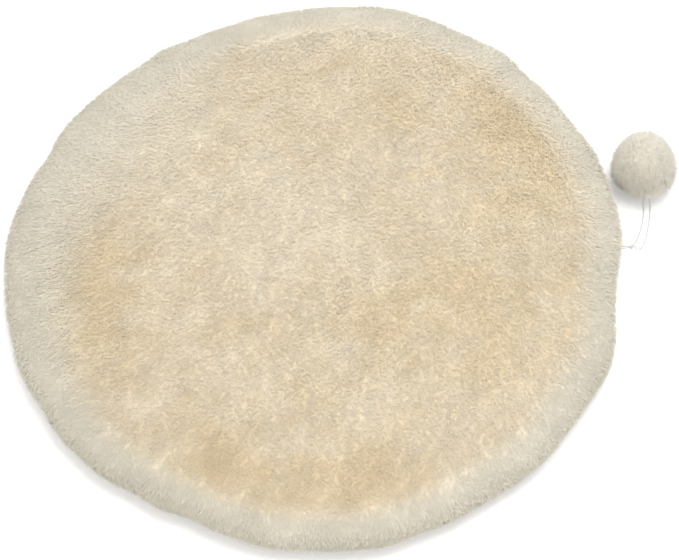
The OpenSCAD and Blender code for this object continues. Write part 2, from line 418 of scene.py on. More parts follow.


# Colours of the roots, of the tips, of the painted shade of open places (multiplied in) and of the painted rim shade
# on the smooth band
FUR = pile_look("plush_pile", (0.835, 0.73, 0.55), (0.91, 0.83, 0.69), (0.90, 0.83, 0.70), (0.765, 0.72, 0.60))
# The underfur is coloured darker than the strands: painted shade of the gaps between them
UNDERFUR = pile_look("underfur", (0.72, 0.62, 0.46), (0.75, 0.66, 0.50), (0.92, 0.85, 0.72), (0.715, 0.67, 0.555))
FUR_BALL = pile_look("pompom_pile", (0.90, 0.84, 0.70), (0.94, 0.89, 0.78), (0.97, 0.94, 0.88), (0.92, 0.88, 0.77))
BASE_CLOTH = weave_look("underside_cloth", (0.70, 0.64, 0.53), 0.8 * MM)
TAPE = weave_look("zip_tape_cloth", (0.69, 0.63, 0.52), 0.55 * MM, shade=0.8)
LINER = fibre_look("liner_nonwoven", (0.84, 0.84, 0.81))
FILL = fibre_look("polyester_fibre", (0.90, 0.90, 0.89))
STRING = thread_look("string_cord", (0.68, 0.675, 0.66), 0.9 * MM)
THREAD = thread_look("sewing_thread", (0.82, 0.78, 0.70), 0.4 * MM)
METAL = metal_look("plated_zinc", (0.62, 0.62, 0.61))
NYLON = nylon_look("nylon_coil", (0.74, 0.70, 0.60))

# ---- string

STRING_D = 1.0 * MM
# Out of the knot, down to the floor, into the pompom's neck, round and back, in millimetres
STRING_ROUTE = [
    (228.5, -6.2, 13.6), (229.4, -4.4, 11.4), (230.8, -1.8, 7.6), (232.4, 1.2, 3.8), (234.2, 4.6, 1.4),
    (236, 8.2, 0.7), (237.8, 12.2, 0.6), (239.4, 16.4, 0.6), (240.8, 20.6, 0.6), (242, 25, 0.7),
    (242.7, 29, 1.3), (242.8, 32.6, 3.2), (242.6, 35.8, 6.1), (242.5, 38.6, 9.2), (242.5, 41, 12.2),
    (243.1, 42.6, 14.1), (244.7, 43.3, 14.9), (246.3, 42.6, 14.1),
    (246.9, 41, 12.2), (247.1, 38.6, 9.2), (247.3, 35.8, 6.1), (247.6, 32.6, 3.2), (247.4, 29, 1.3),
    (246.6, 24.6, 0.7), (245.4, 19.6, 0.6), (243.8, 14.4, 0.6), (242.2, 9.4, 0.6), (240.4, 4.4, 0.6),
    (238.4, 0.2, 0.7), (236, -3, 1.8), (233.6, -5.2, 4.6), (231.4, -6.6, 8.8), (229.5, -7.3, 13.6),
]
STRING_TWIST = 2.6 * MM  # length of one turn of its two plies
STRING_SIDES = 10


def two_ply(path):
    """The string's number of sides, and how far each stands out along the path, as its two plies turn."""
    run = run_along(np.linalg.norm(np.diff(path, axis=0), axis=1))
    turn = round_turn(STRING_SIDES)
    return STRING_SIDES, 0.76 + 0.28 * np.abs(np.cos(turn - math.pi * run[:, None] / STRING_TWIST))


def make_string():
    path = smooth_path(np.array(STRING_ROUTE) * MM, 9)
    verts, faces = sweep(path, STRING_D / 2, *two_ply(path))
    string = add_piece("string_loop", verts, faces, STRING, "pompom", "string")
    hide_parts("tether_cord")
    length = float(np.linalg.norm(np.diff(path, axis=0), axis=1).sum())
    return string, path, length


string, string_path, string_length = make_string()

# ---- cushion's section and outline

# Places where the sewn edge swells out or draws in: azimuth in degrees, depth in mm, half width in degrees
EDGE_SWELLS = [
    (-11.5, -6.5, 7), (24, -2, 7), (46, 5, 9), (70, 6.5, 13), (116, -3, 14), (133, -1.5, 6), (141, 2, 8),
    (165, 3.5, 12), (-176, 3, 20), (-154, -1, 3), (-142, 3, 8), (-131, -3.5, 7), (-120, -7, 8), (-111, -3, 5),
    (-84, 2, 14), (-67, 2.5, 6), (-60, -1.5, 3), (-28, 1.5, 6),
    (20, 2, 5), (41, -3.5, 4), (103, -1.5, 4), (118, 4.5, 3), (134, 1.5, 3), (151, -3, 3), (-160, 2, 6),
    (-143, -2.5, 4), (-124, 2.5, 3), (-113, 2.5, 3), (-83, 1.5, 3), (-66, -3, 3), (-54, 2.5, 6), (-46, 1, 5),
    (-30, 2.5, 4), (-19, -1.5, 3),
]
EDGE_FULL = 1.6 * MM  # the whole edge stands this much further out
EDGE_RIPPLE = 0.3 * MM


def edge_swell(angle):
    """How far the outline stands outside a true circle at each angle."""
    out = EDGE_FULL + EDGE_RIPPLE * np.sin(17 * angle + 1.3) + EDGE_RIPPLE * np.sin(26 * angle + 0.4)
    for azimuth, depth, width in EDGE_SWELLS:
        out = out + depth * MM * np.exp(-(degrees_off(angle, azimuth) / width) ** 2)
    return out


def section(steps=360):
    """(r, z) along the fur's backing from the middle over the side and under to the hem, with the length."""
    t = np.linspace(0, math.pi / 2, steps)
    r_top = CLOTH_R * np.sin(t)
    rise = CROWN_Z - PILE_DEPTH - SEAM_Z
    z_top = SEAM_Z + rise * np.maximum(0, 1 - (r_top / CLOTH_R) ** CROWN_POWER) ** CROWN_ROUND
    t = np.linspace(0, SIDE_TURN, steps // 4)[1:]
    r_low = CLOTH_R - HEM_IN * (1 - np.cos(t))
    z_low = SEAM_Z - (SEAM_Z - HEM_Z) * np.sin(t) / math.sin(SIDE_TURN)
    r, z = np.concatenate([r_top, r_low]), np.concatenate([z_top, z_low])
    return r, z, run_along(np.hypot(np.diff(r), np.diff(z)))


SECTION_R, SECTION_Z, SECTION_RUN = section()
SKIN_LENGTH = SECTION_RUN[-1]  # from the middle of the top to the hem
# Area inside each length, in proportion only
SECTION_AREA = run_along(np.diff(SECTION_RUN) * (SECTION_R[1:] + SECTION_R[:-1]))


# Height, size and seed of the crown's soft lumps
LUMPS = ((1.6 * MM, 70 * MM, 5), (0.7 * MM, 26 * MM, 6))
PUFF_ROWS, PUFF_COLS = 72, 180
puffed = np.zeros((PUFF_ROWS, PUFF_COLS))  # how far the simulated form stands off the drawn one


def puff_at(run, angle):
    """Offset of the simulated form at each place, between the grid's points."""
    row = np.clip(run / SKIN_LENGTH * (PUFF_ROWS - 1), 0, PUFF_ROWS - 1.001)
    col = (angle / (2 * math.pi)) % 1 * PUFF_COLS
    r, c = row.astype(int), col.astype(int) % PUFF_COLS
    u, v, n = row - r, col - np.floor(col), (c + 1) % PUFF_COLS
    return (puffed[r, c] * (1 - u) * (1 - v) + puffed[r + 1, c] * u * (1 - v)
            + puffed[r, n] * (1 - u) * v + puffed[r + 1, n] * u * v)


def skin(run, angle):
    """Point, outward normal and downhill direction of the backing at a length from the middle and an angle."""
    r = np.interp(run, SECTION_RUN, SECTION_R)
    z = np.interp(run, SECTION_RUN, SECTION_Z)
    step = 1.5 * MM
    a, b = np.clip(run - step, 0, SKIN_LENGTH), np.clip(run + step, 0, SKIN_LENGTH)
    dr = np.interp(b, SECTION_RUN, SECTION_R) - np.interp(a, SECTION_RUN, SECTION_R)
    dz = np.interp(b, SECTION_RUN, SECTION_Z) - np.interp(a, SECTION_RUN, SECTION_Z)
    length = np.maximum(np.hypot(dr, dz), 1e-9)
    dr, dz = dr / length, dz / length
    out = r + edge_swell(angle) * (r / CLOTH_R) ** 4
    x, y = out * np.cos(angle), out * np.sin(angle)
    lumps = sum(height * waves(x, y, size, seed) for height, size, seed in LUMPS)
    z = z + lumps * clamp(dr) * clamp(1.25 - r / CLOTH_R)
    normal = polar(-dz, angle, dr)
    return np.stack([x, y, z], -1) + normal * puff_at(run, angle)[..., None], normal, polar(dr, angle, dz)


def padded_form():
    """Closed bag of the cushion's shape, blown up by a short cloth simulation inside its sewn edge."""
    rows, cols = 60, 150
    run = np.linspace(0, SKIN_LENGTH, rows)[1:]
    points, _, _ = skin(*pairs(run, round_turn(cols)))
    slack = np.where(points[:, 2] > SEAM_Z, FORM_SLACK, 1.0)
    points[:, 2] = SEAM_Z + (points[:, 2] - SEAM_Z) * slack
    faces = grid_faces(rows - 1, cols, wrap=True, flip=True).tolist()
    crown = SEAM_Z + (CROWN_Z - PILE_DEPTH - SEAM_Z) * FORM_SLACK
    top, edge = len(points), (rows - 2) * cols
    points = np.vstack([points, [0, 0, crown], [0, 0, 1 * MM]])
    faces += [[top, k, (k + 1) % cols] for k in range(cols)]
    faces += [[top + 1, edge + (k + 1) % cols, edge + k] for k in range(cols)]
    form = linked("form", mesh_from("form", points, faces))
    puff(form)
    bpy.context.view_layer.update()
    tree = BVHTree.FromObject(form, bpy.context.evaluated_depsgraph_get())
    bpy.data.objects.remove(form)
    return tree


def vertex_array(mesh):
    co = np.empty(len(mesh.vertices) * 3)
    mesh.vertices.foreach_get("co", co)
    return co.reshape(-1, 3)


def evaluated_mesh(ob):
    """New mesh of the object as its modifiers or its curve settings make it."""
    dg = bpy.context.evaluated_depsgraph_get()
    return bpy.data.meshes.new_from_object(ob.evaluated_get(dg), depsgraph=dg)


def apply_modifiers(ob):
    mesh = evaluated_mesh(ob)
    ob.modifiers.clear()
    ob.data = mesh


FORM_SLACK = 0.93  # the bag's crown is drawn lower by this factor, because it swells
PUFF_CAP = 7 * MM  # furthest that a point of the bag may move
PUFF_PRESSURE = 4.0
PUFF_FRAMES = 20
FORM_VOXEL = 6 * MM  # size of the bag's cells
FOOT_Z = 3 * MM  # the bag is held still below this level,
SEAM_HOLD = 4 * MM  # and less firmly this near the seam


def puff(ob):
    """Blows the closed bag up with cloth pressure and no gravity; its foot and its sewn edge are held."""
    remesh = ob.modifiers.new("remesh", "REMESH")
    remesh.mode = "VOXEL"
    remesh.voxel_size = FORM_VOXEL
    apply_modifiers(ob)
    mesh = ob.data
    before = vertex_array(mesh)
    held = ob.vertex_groups.new(name="held")
    foot = np.nonzero(before[:, 2] < FOOT_Z)[0]
    sewn = np.nonzero((np.abs(before[:, 2] - SEAM_Z) < SEAM_HOLD)
                      & (np.hypot(before[:, 0], before[:, 1]) > CLOTH_R * 0.95))[0]
    held.add(sewn.tolist(), 0.7, "REPLACE")
    held.add(foot.tolist(), 1.0, "REPLACE")
    cloth = ob.modifiers.new("cloth", "CLOTH")
    cloth.settings.quality = 5
    cloth.settings.use_pressure = True
    cloth.settings.uniform_pressure_force = PUFF_PRESSURE
    cloth.settings.vertex_group_mass = "held"
    cloth.settings.effector_weights.gravity = 0
    cloth.point_cache.frame_start = 1
    cloth.point_cache.frame_end = PUFF_FRAMES
    for f in range(1, PUFF_FRAMES + 1):
        bpy.context.scene.frame_set(f)
    after = vertex_array(ob.evaluated_get(bpy.context.evaluated_depsgraph_get()).data)
    ob.modifiers.clear()
    bpy.context.scene.frame_set(1)
    move = after - before
    far = np.linalg.norm(move, axis=1, keepdims=True)
    after = before + move * np.minimum(1, PUFF_CAP / np.maximum(far, 1e-9))
    mesh.vertices.foreach_set("co", after.ravel())
    mesh.update()
    smooth = ob.modifiers.new("smooth", "SUBSURF")
    smooth.levels = 1
    apply_modifiers(ob)


def measure_puff(tree):
    """How far the simulated form stands off the drawn skin, over the grid."""
    point, normal, _ = skin(*pairs(np.linspace(0, SKIN_LENGTH, PUFF_ROWS), round_turn(PUFF_COLS)))
    reach = 20 * MM
    off = np.zeros(len(point))
    for i, (p, n) in enumerate(zip(point, normal)):
        hit = tree.ray_cast(Vector(p + n * reach), Vector(-n), 2 * reach)[0]
        if hit is not None:
            off[i] = np.dot(np.array(hit) - p, n)
    return np.clip(off, -PUFF_CAP, PUFF_CAP).reshape(PUFF_ROWS, PUFF_COLS)


puffed = measure_puff(padded_form())


# ---- how the pile lies

# Plush that stands open, more upright, with painted shade that makes it darker and warmer: x, y, half width, half
# depth in mm, and strength
OPEN_PATCHES = [
    (-158, -20, 29, 75, 0.9), (-82, -162, 36, 26, 0.8), (10, -182, 50, 26, 0.8), (158, 84, 34, 70, 1.0),
    (104, -62, 66, 56, 0.55), (-49, 176, 12, 14, 0.6), (60, 110, 60, 40, 0.35), (28, -78, 55, 24, 0.3),
]
# Plush that is brushed flat: it leans further and gets less painted shade, so it looks lighter
FLAT_PATCHES = [
    (-98, 127, 30, 70, 0.65), (-16, 14, 66, 48, 0.55), (-140, 120, 50, 60, 0.7), (50, -120, 40, 34, 0.1),
]
PATCH_WOBBLE, WOBBLE_SIZE = 10 * MM, 16 * MM  # unevenness of the patches' edges
EDGE_BAND = 36 * MM  # how far in from the side the smooth band, with its painted rim shade, reaches
# How much further in it reaches near an azimuth, that azimuth and its span in degrees
EDGE_BAND_MORE = [(58 * MM, 152, 42), (-17 * MM, -90, 75)]


def patch_sum(x, y, patches):
    total = np.zeros_like(x)
    for px, py, wide, deep, strength in patches:
        total += strength * np.exp(-((x / MM - px) / wide) ** 2 - ((y / MM - py) / deep) ** 2)
    return total


def edge_share(run, angle):
    """0 over the middle, rising to 1 on the rolled edge."""
    start = CLOTH_R - EDGE_BAND
    for more, azimuth, span in EDGE_BAND_MORE:
        start = start - more * np.exp(-(degrees_off(angle, azimuth) / span) ** 2)
    return ease(clamp((run - start) / (CLOTH_R - 4 * MM - start)))


def openness(points, edge):
    """0 where the pile is brushed flat, 1 where it stands open."""
    x, y = points[:, 0], points[:, 1]
    x, y = [v + PATCH_WOBBLE * waves(x, y, WOBBLE_SIZE, seed) for v, seed in ((x, 11), (y, 12))]
    value = 0.36 + 0.6 * patch_sum(x, y, OPEN_PATCHES) - 0.5 * patch_sum(x, y, FLAT_PATCHES)
    value += 0.18 * waves(x, y, 22 * MM, 13) + 0.1 * waves(x, y, 11 * MM, 14)
    return ease(clamp(value)) * (1 - edge)


HEADING = -1.9  # the way most of the pile lies on the crown, in radians
HEADING_SWINGS = ((0.9, 90 * MM, 21), (0.35, 30 * MM, 22), (0.25, 11 * MM, 23))  # in radians, with size and seed


def lay_direction(points, normals, down, edge):
    """Way the pile leans: wandering over the crown, outward and down on the edge."""
    x, y = points[:, 0], points[:, 1]
    heading = HEADING
    for swing, size, seed in HEADING_SWINGS:
        heading = heading + swing * waves(x, y, size, seed)
    flow = np.stack([np.cos(heading), np.sin(heading), np.zeros_like(x)], -1)
    share = edge[:, None]
    flow = flow * (1 - share) + down * (share * 1.6 + 0.15)
    return unit(along_skin(flow, normals))


# ---- pile


def clump_pull(points, centres):
    """For each point, the vector to its nearest clump centre and that clump's number."""
    tree = KDTree(len(centres))
    for i, c in enumerate(centres):
        tree.insert(Vector(c), i)
    tree.balance()
    which = np.array([tree.find(Vector(p))[1] for p in points])
    return centres[which] - points, which


STRAND_BEND = 0.3  # half the turn between a strand's two lengths, in radians
STRAND_ROUND = 0.12  # share of a strand's own roundness in its shading
STRAND_LOW = 0.4 * MM  # no strand goes below this level
STRAND_TIP = (0, 0, 0, 0.5, 0.5, 0.5, 1.0)  # how far up the strand each of its points is
STRAND_POINTS = len(STRAND_TIP)


def strand_mesh(name, root, normal, lay, length, lean, width, pull, numbers, map_centre, map_radius, glow=0.0):
    """Mesh of tapered curved strands: two three-sided lengths and a point each, closed at the root.
    Each is shaded mostly as the skin under it, because real pile passes light on from hair to hair.
    A small ball is lit through as well, so `glow` turns its shading up towards the light."""
    count = len(root)
    lit = unit(normal + glow * UP)
    low_turn, high_turn = lean - STRAND_BEND, lean + STRAND_BEND
    first = np.cos(low_turn)[:, None] * normal + np.sin(low_turn)[:, None] * lay
    second = np.cos(high_turn)[:, None] * normal + np.sin(high_turn)[:, None] * lay
    middle = root + first * length[:, None] * 0.5 + pull * 0.35
    tip = middle + second * length[:, None] * 0.5 + pull * 0.65
    side = unit(np.cross(normal, lay))
    verts = np.empty((count, STRAND_POINTS, 3))
    shade = np.empty_like(verts)
    for ring, (centre, share, ahead) in enumerate(((root, 1.0, first), (middle, 0.8, second))):
        over = np.cross(ahead, side)
        for k in range(3):
            turn = 2 * math.pi * k / 3 + math.pi / 2
            around = math.cos(turn) * side + math.sin(turn) * over
            verts[:, ring * 3 + k] = centre + around * (width * share)[:, None]
            shade[:, ring * 3 + k] = unit(lit + around * STRAND_ROUND)
    verts[:, -1] = tip
    shade[:, -1] = unit(lit + second * STRAND_ROUND)
    verts[:, :, 2] = np.maximum(verts[:, :, 2], STRAND_LOW)
    one = [(2, 1, 0)]
    for k in range(3):
        n = (k + 1) % 3
        one += [(k, n, 3 + n), (k, 3 + n, 3 + k), (3 + k, 3 + n, 6)]
    faces = (np.arange(count)[:, None, None] * STRAND_POINTS + np.array(one)).reshape(-1, 3)
    flat = verts.reshape(-1, 3)
    mesh = mesh_from(name, flat, faces)
    mesh.normals_split_custom_set_from_vertices(shade.reshape(-1, 3))
    numbers = {key: np.repeat(values, STRAND_POINTS) for key, values in numbers.items()}
    add_numbers(mesh, tip=np.tile(STRAND_TIP, count), **numbers)
    add_plan_map(mesh, flat, faces, map_centre, map_radius)
    return mesh


GOLDEN = math.pi * (3 - math.sqrt(5))  # the golden angle spreads points evenly


def spread_over_skin(count, seed, jitter):
    """Evenly spread (run, angle) places over the cushion's fur."""
    rng = np.random.default_rng(seed)
    share = (np.arange(count) + 0.5) / count
    run = np.interp(share * SECTION_AREA[-1], SECTION_AREA, SECTION_RUN)
    angle = (np.arange(count) * GOLDEN) % (2 * math.pi)
    run = np.clip(run + rng.normal(0, jitter, count), 0, SKIN_LENGTH)
    return run, angle + rng.normal(0, jitter, count) / np.maximum(run, 5 * MM)


PILE_STRANDS = 150000
PILE_SECTORS = 8  # pieces that the pile is made in
PILE_CLUMPS = 21000
# What loose flat pile has, and what an open place and the smooth band add to it
LEAN_FLAT, LEAN_OPEN, LEAN_BAND = 44, -12, 24  # degrees from upright
LEAN_RANGE = (0.1, 1.25)  # in radians
LENGTH_FLAT, LENGTH_BAND = 6.6, 1.8  # in mm
ROOT_DEPTH = 1.5 * MM  # strands start this far down in the underfur
HEM_TAPER = 12 * MM  # the pile thins out over this length before the hem


def hem_share(run):
    """1 over most of the skin, falling to 0 at its hem, where the cloth is turned in and the pile is thin."""
    return clamp((SKIN_LENGTH - run) / HEM_TAPER)


BAND_BED = 1.65 * MM  # the underfur is this much deeper in the smooth band,
BAND_ROOT = 1.3 * MM  # and the strands are rooted this much higher


def smoothness(edge):
    """0 where the pile is loose; it reaches 1 well before the colour of the band does."""
    return clamp(1.8 * edge)


def bed_depth(run, edge, extra):
    return (BED_DEPTH + extra * smoothness(edge)) * hem_share(run)


def make_pile():
    rng = np.random.default_rng(31)
    run, angle = spread_over_skin(PILE_STRANDS, 32, 0.5 * MM)
    point, normal, down = skin(run, angle)
    pull, clump = clump_pull(point, skin(*spread_over_skin(PILE_CLUMPS, 33, 1.2 * MM))[0])
    pull = along_skin(pull, normal)
    edge = edge_share(run, angle)
    opened = openness(point, edge)
    lay = lay_direction(point, normal, down, edge)
    smooth = smoothness(edge)
    calm = (1 - 0.92 * smooth) * (0.55 + 0.45 * opened)  # brushed pile lies more evenly
    turn = (rng.normal(0, 0.3, PILE_CLUMPS)[clump] + rng.normal(0, 1.2, PILE_STRANDS)) * (1 - 0.55 * smooth)
    lay = np.cos(turn)[:, None] * lay + np.sin(turn)[:, None] * np.cross(normal, lay)
    lean = np.radians(LEAN_FLAT + LEAN_OPEN * opened + LEAN_BAND * smooth)
    lean += (rng.normal(0, 0.07, PILE_CLUMPS)[clump] + rng.normal(0, 0.22, PILE_STRANDS)) * (0.2 + 0.8 * calm)
    lean = np.clip(lean, *LEAN_RANGE)
    length = (LENGTH_FLAT + LENGTH_BAND * smooth + rng.normal(0, 0.6, PILE_STRANDS) * (0.4 + 0.6 * calm)) * MM
    length *= 1 + rng.normal(0, 0.06, PILE_CLUMPS)[clump] * calm
    width = rng.uniform(0.2, 0.3, PILE_STRANDS) * (1 + 0.3 * smooth) * MM
    hold = rng.uniform(0, 0.3, PILE_CLUMPS)[clump] * calm ** 2
    hem = hem_share(run)
    length *= 0.45 + 0.55 * hem
    root = point + normal * (bed_depth(run, edge, BAND_ROOT) - ROOT_DEPTH * hem)[:, None]
    tone = rng.uniform(-0.3, 0.3, PILE_STRANDS) + rng.uniform(-0.2, 0.2, PILE_CLUMPS)[clump]
    tone = 0.5 + tone * (1 - 0.8 * smooth)
    sector = ((angle % (2 * math.pi)) / (2 * math.pi) * PILE_SECTORS).astype(int)
    for k in range(PILE_SECTORS):
        m = sector == k
        numbers = {"open": opened[m], "edge": edge[m], "tone": tone[m]}
        mesh = strand_mesh(f"pile_sector_{k + 1}", root[m], normal[m], lay[m], length[m], lean[m], width[m],
                           pull[m] * hold[m][:, None], numbers, (0, 0), OUTER_R)
        add_object(mesh.name, mesh, FUR, "cushion")


def make_bed():
    """Dense underfur: a closed shell over the backing, with shallow dips between tufts."""
    rows, cols = 90, 460
    run, turn = pairs(SKIN_LENGTH * np.linspace(0, 1, rows + 1)[1:], round_turn(cols))
    point, normal, _ = skin(run, turn)
    edge = edge_share(run, turn)
    tuft = waves(point[:, 0], point[:, 1], 9 * MM, 41, 14)
    depth = 0.4 * MM + 0.9 * bed_depth(run, edge, BAND_BED)
    verts = point + normal * (depth + 0.5 * MM * tuft * (1 - edge))[:, None]
    verts[:, 2] = np.maximum(verts[:, 2], 0.6 * MM)
    middle = verts[:cols].mean(axis=0)
    faces = grid_faces(rows, cols, wrap=True, flip=True).tolist()
    faces += [[len(verts), k, (k + 1) % cols] for k in range(cols)]
    mesh = mesh_from("fur_bed", np.vstack([verts, middle]), faces)
    # Its tone follows the tufts' height: painted shade, darker in the dips between the tufts
    add_numbers(mesh, tip=np.full(len(verts) + 1, 0.2), open=np.append(openness(point, edge), 0.3),
                edge=np.append(edge, 0), tone=np.append(0.5 + 0.3 * tuft, 0.5))
    bed = add_object("fur_bed", mesh, UNDERFUR, "cushion")
    thicken(bed, BED_DEPTH + 1 * MM)
    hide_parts("cover_top")


make_bed()
make_pile()

# ---- pompom

BALL_STRANDS = 9000
BALL_CLUMPS = 500
BALL_PILE = 9.0 * MM  # length of its strands
BALL_ROOT_R = POMPOM_R - 7 * MM  # they are rooted at this radius,
BALL_BED = 3.1 * MM  # and the underfur stands this much further out
BALL_PULL = 0.08  # share of the way that strands bend to their clump's middle
BALL_NECK = 0.975  # no strands nearer to the neck than this cosine
BALL_GLOW = 0.45  # how far its shading is turned up to the light


def ball_spread(count):
    """Evenly spread directions."""
    k = np.arange(count)
    z = 1 - 2 * (k + 0.5) / count
    return polar(np.sqrt(1 - z * z), k * GOLDEN, z)


def ball_shape(d):
    """The pompom's slightly uneven outline: factor on its radius in each direction."""
    return 1.01 + 0.03 * np.sin(3 * d[:, 0] + 2 * d[:, 2] + 0.6) + 0.02 * np.sin(4 * d[:, 1] - 3 * d[:, 0])


def make_pompom():
    centre = np.array(POMPOM)
    neck = unit(string_path[len(string_path) // 2] - centre)
    rng = np.random.default_rng(51)
    way = ball_spread(BALL_STRANDS)
    way = unit(way + rng.normal(0, 0.01, way.shape))
    way = way[np.sum(way * neck, axis=1) < BALL_NECK]
    count = len(way)
    pull, clump = clump_pull(way, ball_spread(BALL_CLUMPS))
    pull = along_skin(pull, way)
    lay = rng.normal(0, 0.6, (BALL_CLUMPS, 3))[clump] + rng.normal(0, 0.8, (count, 3))
    lay = unit(along_skin(lay, way))
    length = (BALL_PILE + rng.normal(0, 0.9, count) * MM) * ball_shape(way)
    lean = np.abs(rng.normal(0.15, 0.15, count))
    width = rng.uniform(0.2, 0.32, count) * MM
    root = centre + way * (BALL_ROOT_R * ball_shape(way))[:, None]
    numbers = {"open": np.full(count, 0.2), "edge": np.full(count, 0.5), "tone": rng.uniform(0, 1, count)}
    mesh = strand_mesh("pompom_fur", root, way, lay, length, lean, width, pull * BALL_ROOT_R * BALL_PULL, numbers,
                       centre, POMPOM_R, BALL_GLOW)
    fur = add_object("pompom_fur", mesh, FUR_BALL, "pompom")

    bm = bmesh.new()
    bmesh.ops.create_icosphere(bm, subdivisions=5, radius=1)
    ball = mesh_of(bm, "pompom_bed")
    d = unit(vertex_array(ball))
    dimple = np.exp(-((1 - np.sum(d * neck, axis=1)) / 0.03) ** 2)
    tuft = waves(d[:, 0] * 10, d[:, 1] * 10 + d[:, 2] * 6, 0.9, 53, 12)
    reach = (BALL_ROOT_R + BALL_BED) * ball_shape(d) + 0.4 * MM * tuft - 5 * MM * dimple
    ball.vertices.foreach_set("co", (centre + d * reach[:, None]).ravel())
    ball.normals_split_custom_set_from_vertices(unit(d + BALL_GLOW * UP))
    # Its tone follows the tufts' height: painted shade, darker in the dips between the tufts
    add_numbers(ball, tip=np.full(len(d), 0.2), open=np.full(len(d), 0.3), edge=np.full(len(d), 0.5),
                tone=0.5 + 0.3 * tuft)
    bed = add_object("pompom_bed", ball, FUR_BALL, "pompom")
    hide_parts("pompom_pile")
    return [bed, fur]


ball_pieces = make_pompom()

# ---- underside panels

FLAT_R = 180 * MM  # the underside is flat this far out, then curves up to the seam
PANEL_T = 1.2 * MM
PANEL_SPAN = math.radians(88.5)  # a half disc's ends are cut off just short of 90 degrees
PANEL_FOLD = ((4.2, 0.5), (3.2, 0.2), (2.0, 0.0), (1.0, 0.1), (0.4, 0.3))  # up along the slot: lift, setback in mm
SLOT_HALF = 6.5 * MM  # half the width of the slot that the zip closes
SLOT_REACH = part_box("zip_tape_back")[1].x  # half the tapes' length
STITCH_LINES = (9.5 * MM, 12.5 * MM)  # topstitching on each side of the zip, from its middle
STITCH_LONG, STITCH_STEP, STITCH_R = 2.6 * MM, 3.4 * MM, 0.28 * MM
GROOVE, GROOVE_WIDE = 0.35 * MM, 0.7 * MM  # the cloth is drawn in along them
SLOT_END = 4 * MM  # the slot and its stitching stop this far before the tapes' ends


def under_section(steps=200):
    """(r, z) along the underside from the middle out to the seam, with the length."""
    t = np.linspace(0, math.pi / 2, steps)
    r = np.concatenate([[0], FLAT_R + (CLOTH_R - FLAT_R) * np.sin(t)])
    z = np.concatenate([[0], SEAM_Z * (1 - np.cos(t))])
    return r, z, run_along(np.hypot(np.diff(r), np.diff(z)))


UNDER_R, UNDER_Z, UNDER_RUN = under_section()
UNDER_LENGTH = UNDER_RUN[-1]


def under_point(x, y):
    """Place on the underside of a point of the flat cloth."""
    run, angle = np.hypot(x, y), np.arctan2(y, x)
    r = np.interp(run, UNDER_RUN, UNDER_R) + edge_swell(angle) * (run / UNDER_LENGTH) ** 6
    z = np.interp(run, UNDER_RUN, UNDER_Z)
    pucker = np.sin(angle * 61 + 2 * np.sin(angle * 7)) * clamp(run / UNDER_LENGTH - 0.8) * 4 * MM
    soft = 0.3 * MM * (1 + 0.5 * waves(x, y, 60 * MM, 61)) + np.abs(pucker) * 0.8
    for line in STITCH_LINES:
        soft = soft + GROOVE * np.exp(-((np.abs(y) - line) / GROOVE_WIDE) ** 2) * (np.abs(x) < SLOT_REACH)
    return polar(r, angle, z + 0.15 * MM + np.clip(soft, 0, 3 * MM))


def make_panel(name, side, node):
    """Half disc of cloth: folded up along the zip, flat, then curved up to the sewn edge."""
    cols, rows = 260, 70
    x = UNDER_LENGTH * np.sin(np.linspace(-1, 1, cols) * PANEL_SPAN)
    inner = np.where(np.abs(x) < SLOT_REACH - SLOT_END, SLOT_HALF, 0.25 * MM)
    outer = np.sqrt(UNDER_LENGTH ** 2 - x ** 2)
    share = np.linspace(0, 1, rows)[:, None] ** 1.35
    y = side * (inner[None, :] * (1 - share) + outer[None, :] * share)
    flat = under_point(np.repeat(x[None, :], rows, 0).ravel(), y.ravel()).reshape(rows, cols, 3)
    fold = []
    for lift, out in PANEL_FOLD:
        row = flat[0].copy()
        row[:, 1] += side * (out - 0.5) * MM
        row[:, 2] += lift * MM
        fold.append(row)
    verts = np.concatenate([np.array(fold), flat]).reshape(-1, 3)
    mesh = mesh_from(name, verts, grid_faces(rows + len(fold), cols, flip=side > 0))
    panel = add_object(name, mesh, BASE_CLOTH, "cushion")
    thicken(panel, PANEL_T)
    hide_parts(node)
    return panel


def capsules(starts, ends, radius, sides=6):
    """Short rounded threads between pairs of points."""
    parts = []
    for a, b in zip(starts, ends):
        along = b - a
        path = [a + along * t for t in (0, 0.08, 0.3, 0.7, 0.92, 1)]
        parts.append(sweep(path, np.array([0.35, 0.75, 1, 1, 0.75, 0.35]) * radius, sides))
    return joined(parts)


def make_stitches(name, side):
    """Topstitching along one side of the zip."""
    starts, ends = [], []
    for k, line in enumerate(STITCH_LINES):
        for x in np.arange(-SLOT_REACH + (2 + 1.7 * k) * MM, SLOT_REACH - SLOT_END, STITCH_STEP):
            pair = under_point(np.array([x, x + STITCH_LONG]), np.array([side * line] * 2))
            pair[:, 2] -= STITCH_R * 0.4
            starts.append(pair[0])
            ends.append(pair[1])
    verts, faces = capsules(starts, ends, STITCH_R)
    return add_piece(name, verts, faces, THREAD, "cushion", "thread")


HALVES = ((-1, "front"), (1, "back"))  # side of the zip that each half lies on, as the sign of y
for side, name in HALVES:
    panel = make_panel(f"base_panel_{name}", side, f"cover_base_{name}")
    stitches = make_stitches(f"topstitch_{name}", side)

# ---- zip

COIL_PITCH = 1.5 * MM
COIL_WIRE = 0.5 * MM
COIL_STEPS = 14  # points in a turn
COIL_THREAD_R = 0.16 * MM
PAST_STOPS = 151.5 * MM  # from here on the tapes' inner edges come together


